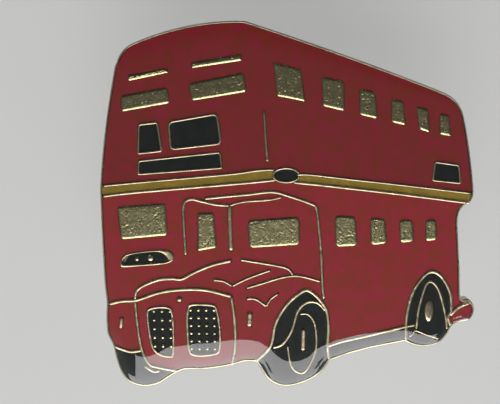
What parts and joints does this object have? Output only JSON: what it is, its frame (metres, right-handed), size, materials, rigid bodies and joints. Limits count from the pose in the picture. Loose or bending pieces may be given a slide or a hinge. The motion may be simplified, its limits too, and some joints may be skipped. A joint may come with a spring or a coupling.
{
  "type": "enamel lapel pin badge",
  "caption": "Die-struck soft enamel lapel pin shaped as a double decker bus, with a clear resin dome, a soldered post and a butterfly clutch with spring wings.",
  "frame": {"origin": "on the ground under the middle of the badge's outline, where the tips of the clutch's wings rest", "axes": "+Z out of the badge's enamelled face, +Y towards the top of the picture, +X towards its right"},
  "size_m": [0.0247, 0.0242, 0.0099],
  "materials": {
    "plated_brass": "aged gold plating",
    "red_enamel": "gloss",
    "black_enamel": "gloss",
    "yellow_enamel": "gloss",
    "clear_resin": "clear gloss",
    "plated_steel": "satin",
    "clutch_brass": "bright pressed sheet",
    "spring_brass": "bright spring sheet"
  },
  "bodies": {
    "badge": {"base_plate": "plated_brass", "red_enamel_upper_deck": "red_enamel", "red_enamel_front": "red_enamel", "red_enamel_side": "red_enamel", "red_enamel_wings": "red_enamel", "red_enamel_platform": "red_enamel", "black_enamel_signs": "black_enamel", "black_enamel_emblems": "black_enamel", "black_enamel_grilles": "black_enamel", "black_enamel_wheels": "black_enamel", "black_enamel_sill": "black_enamel", "yellow_enamel_front_band": "yellow_enamel", "yellow_enamel_side_band": "yellow_enamel", "clear_dome": "clear_resin", "post": "plated_steel"},
    "clutch": {"clutch_face": "clutch_brass", "clutch_shell": "clutch_brass"},
    "wing_left": {"wing_left": "spring_brass"},
    "wing_right": {"wing_right": "spring_brass"}
  },
  "joints": [
    {"name": "clutch_slide", "type": "slide", "parent": "badge", "child": "clutch", "axis": [0, 0, -1], "range_m": [-0.0022, 0.008]},
    {"name": "wing_left_squeeze", "type": "hinge", "parent": "clutch", "child": "wing_left", "pos_m": [-0.0023, 0, 0.00305], "axis": [0, -1, 0], "range_deg": [0, 12], "stiffness_Nm_per_rad": 0.05},
    {"name": "wing_right_squeeze", "type": "hinge", "parent": "clutch", "child": "wing_right", "pos_m": [0.0023, 0, 0.00305], "axis": [0, 1, 0], "range_deg": [0, 12], "stiffness_Nm_per_rad": 0.05}
  ]
}
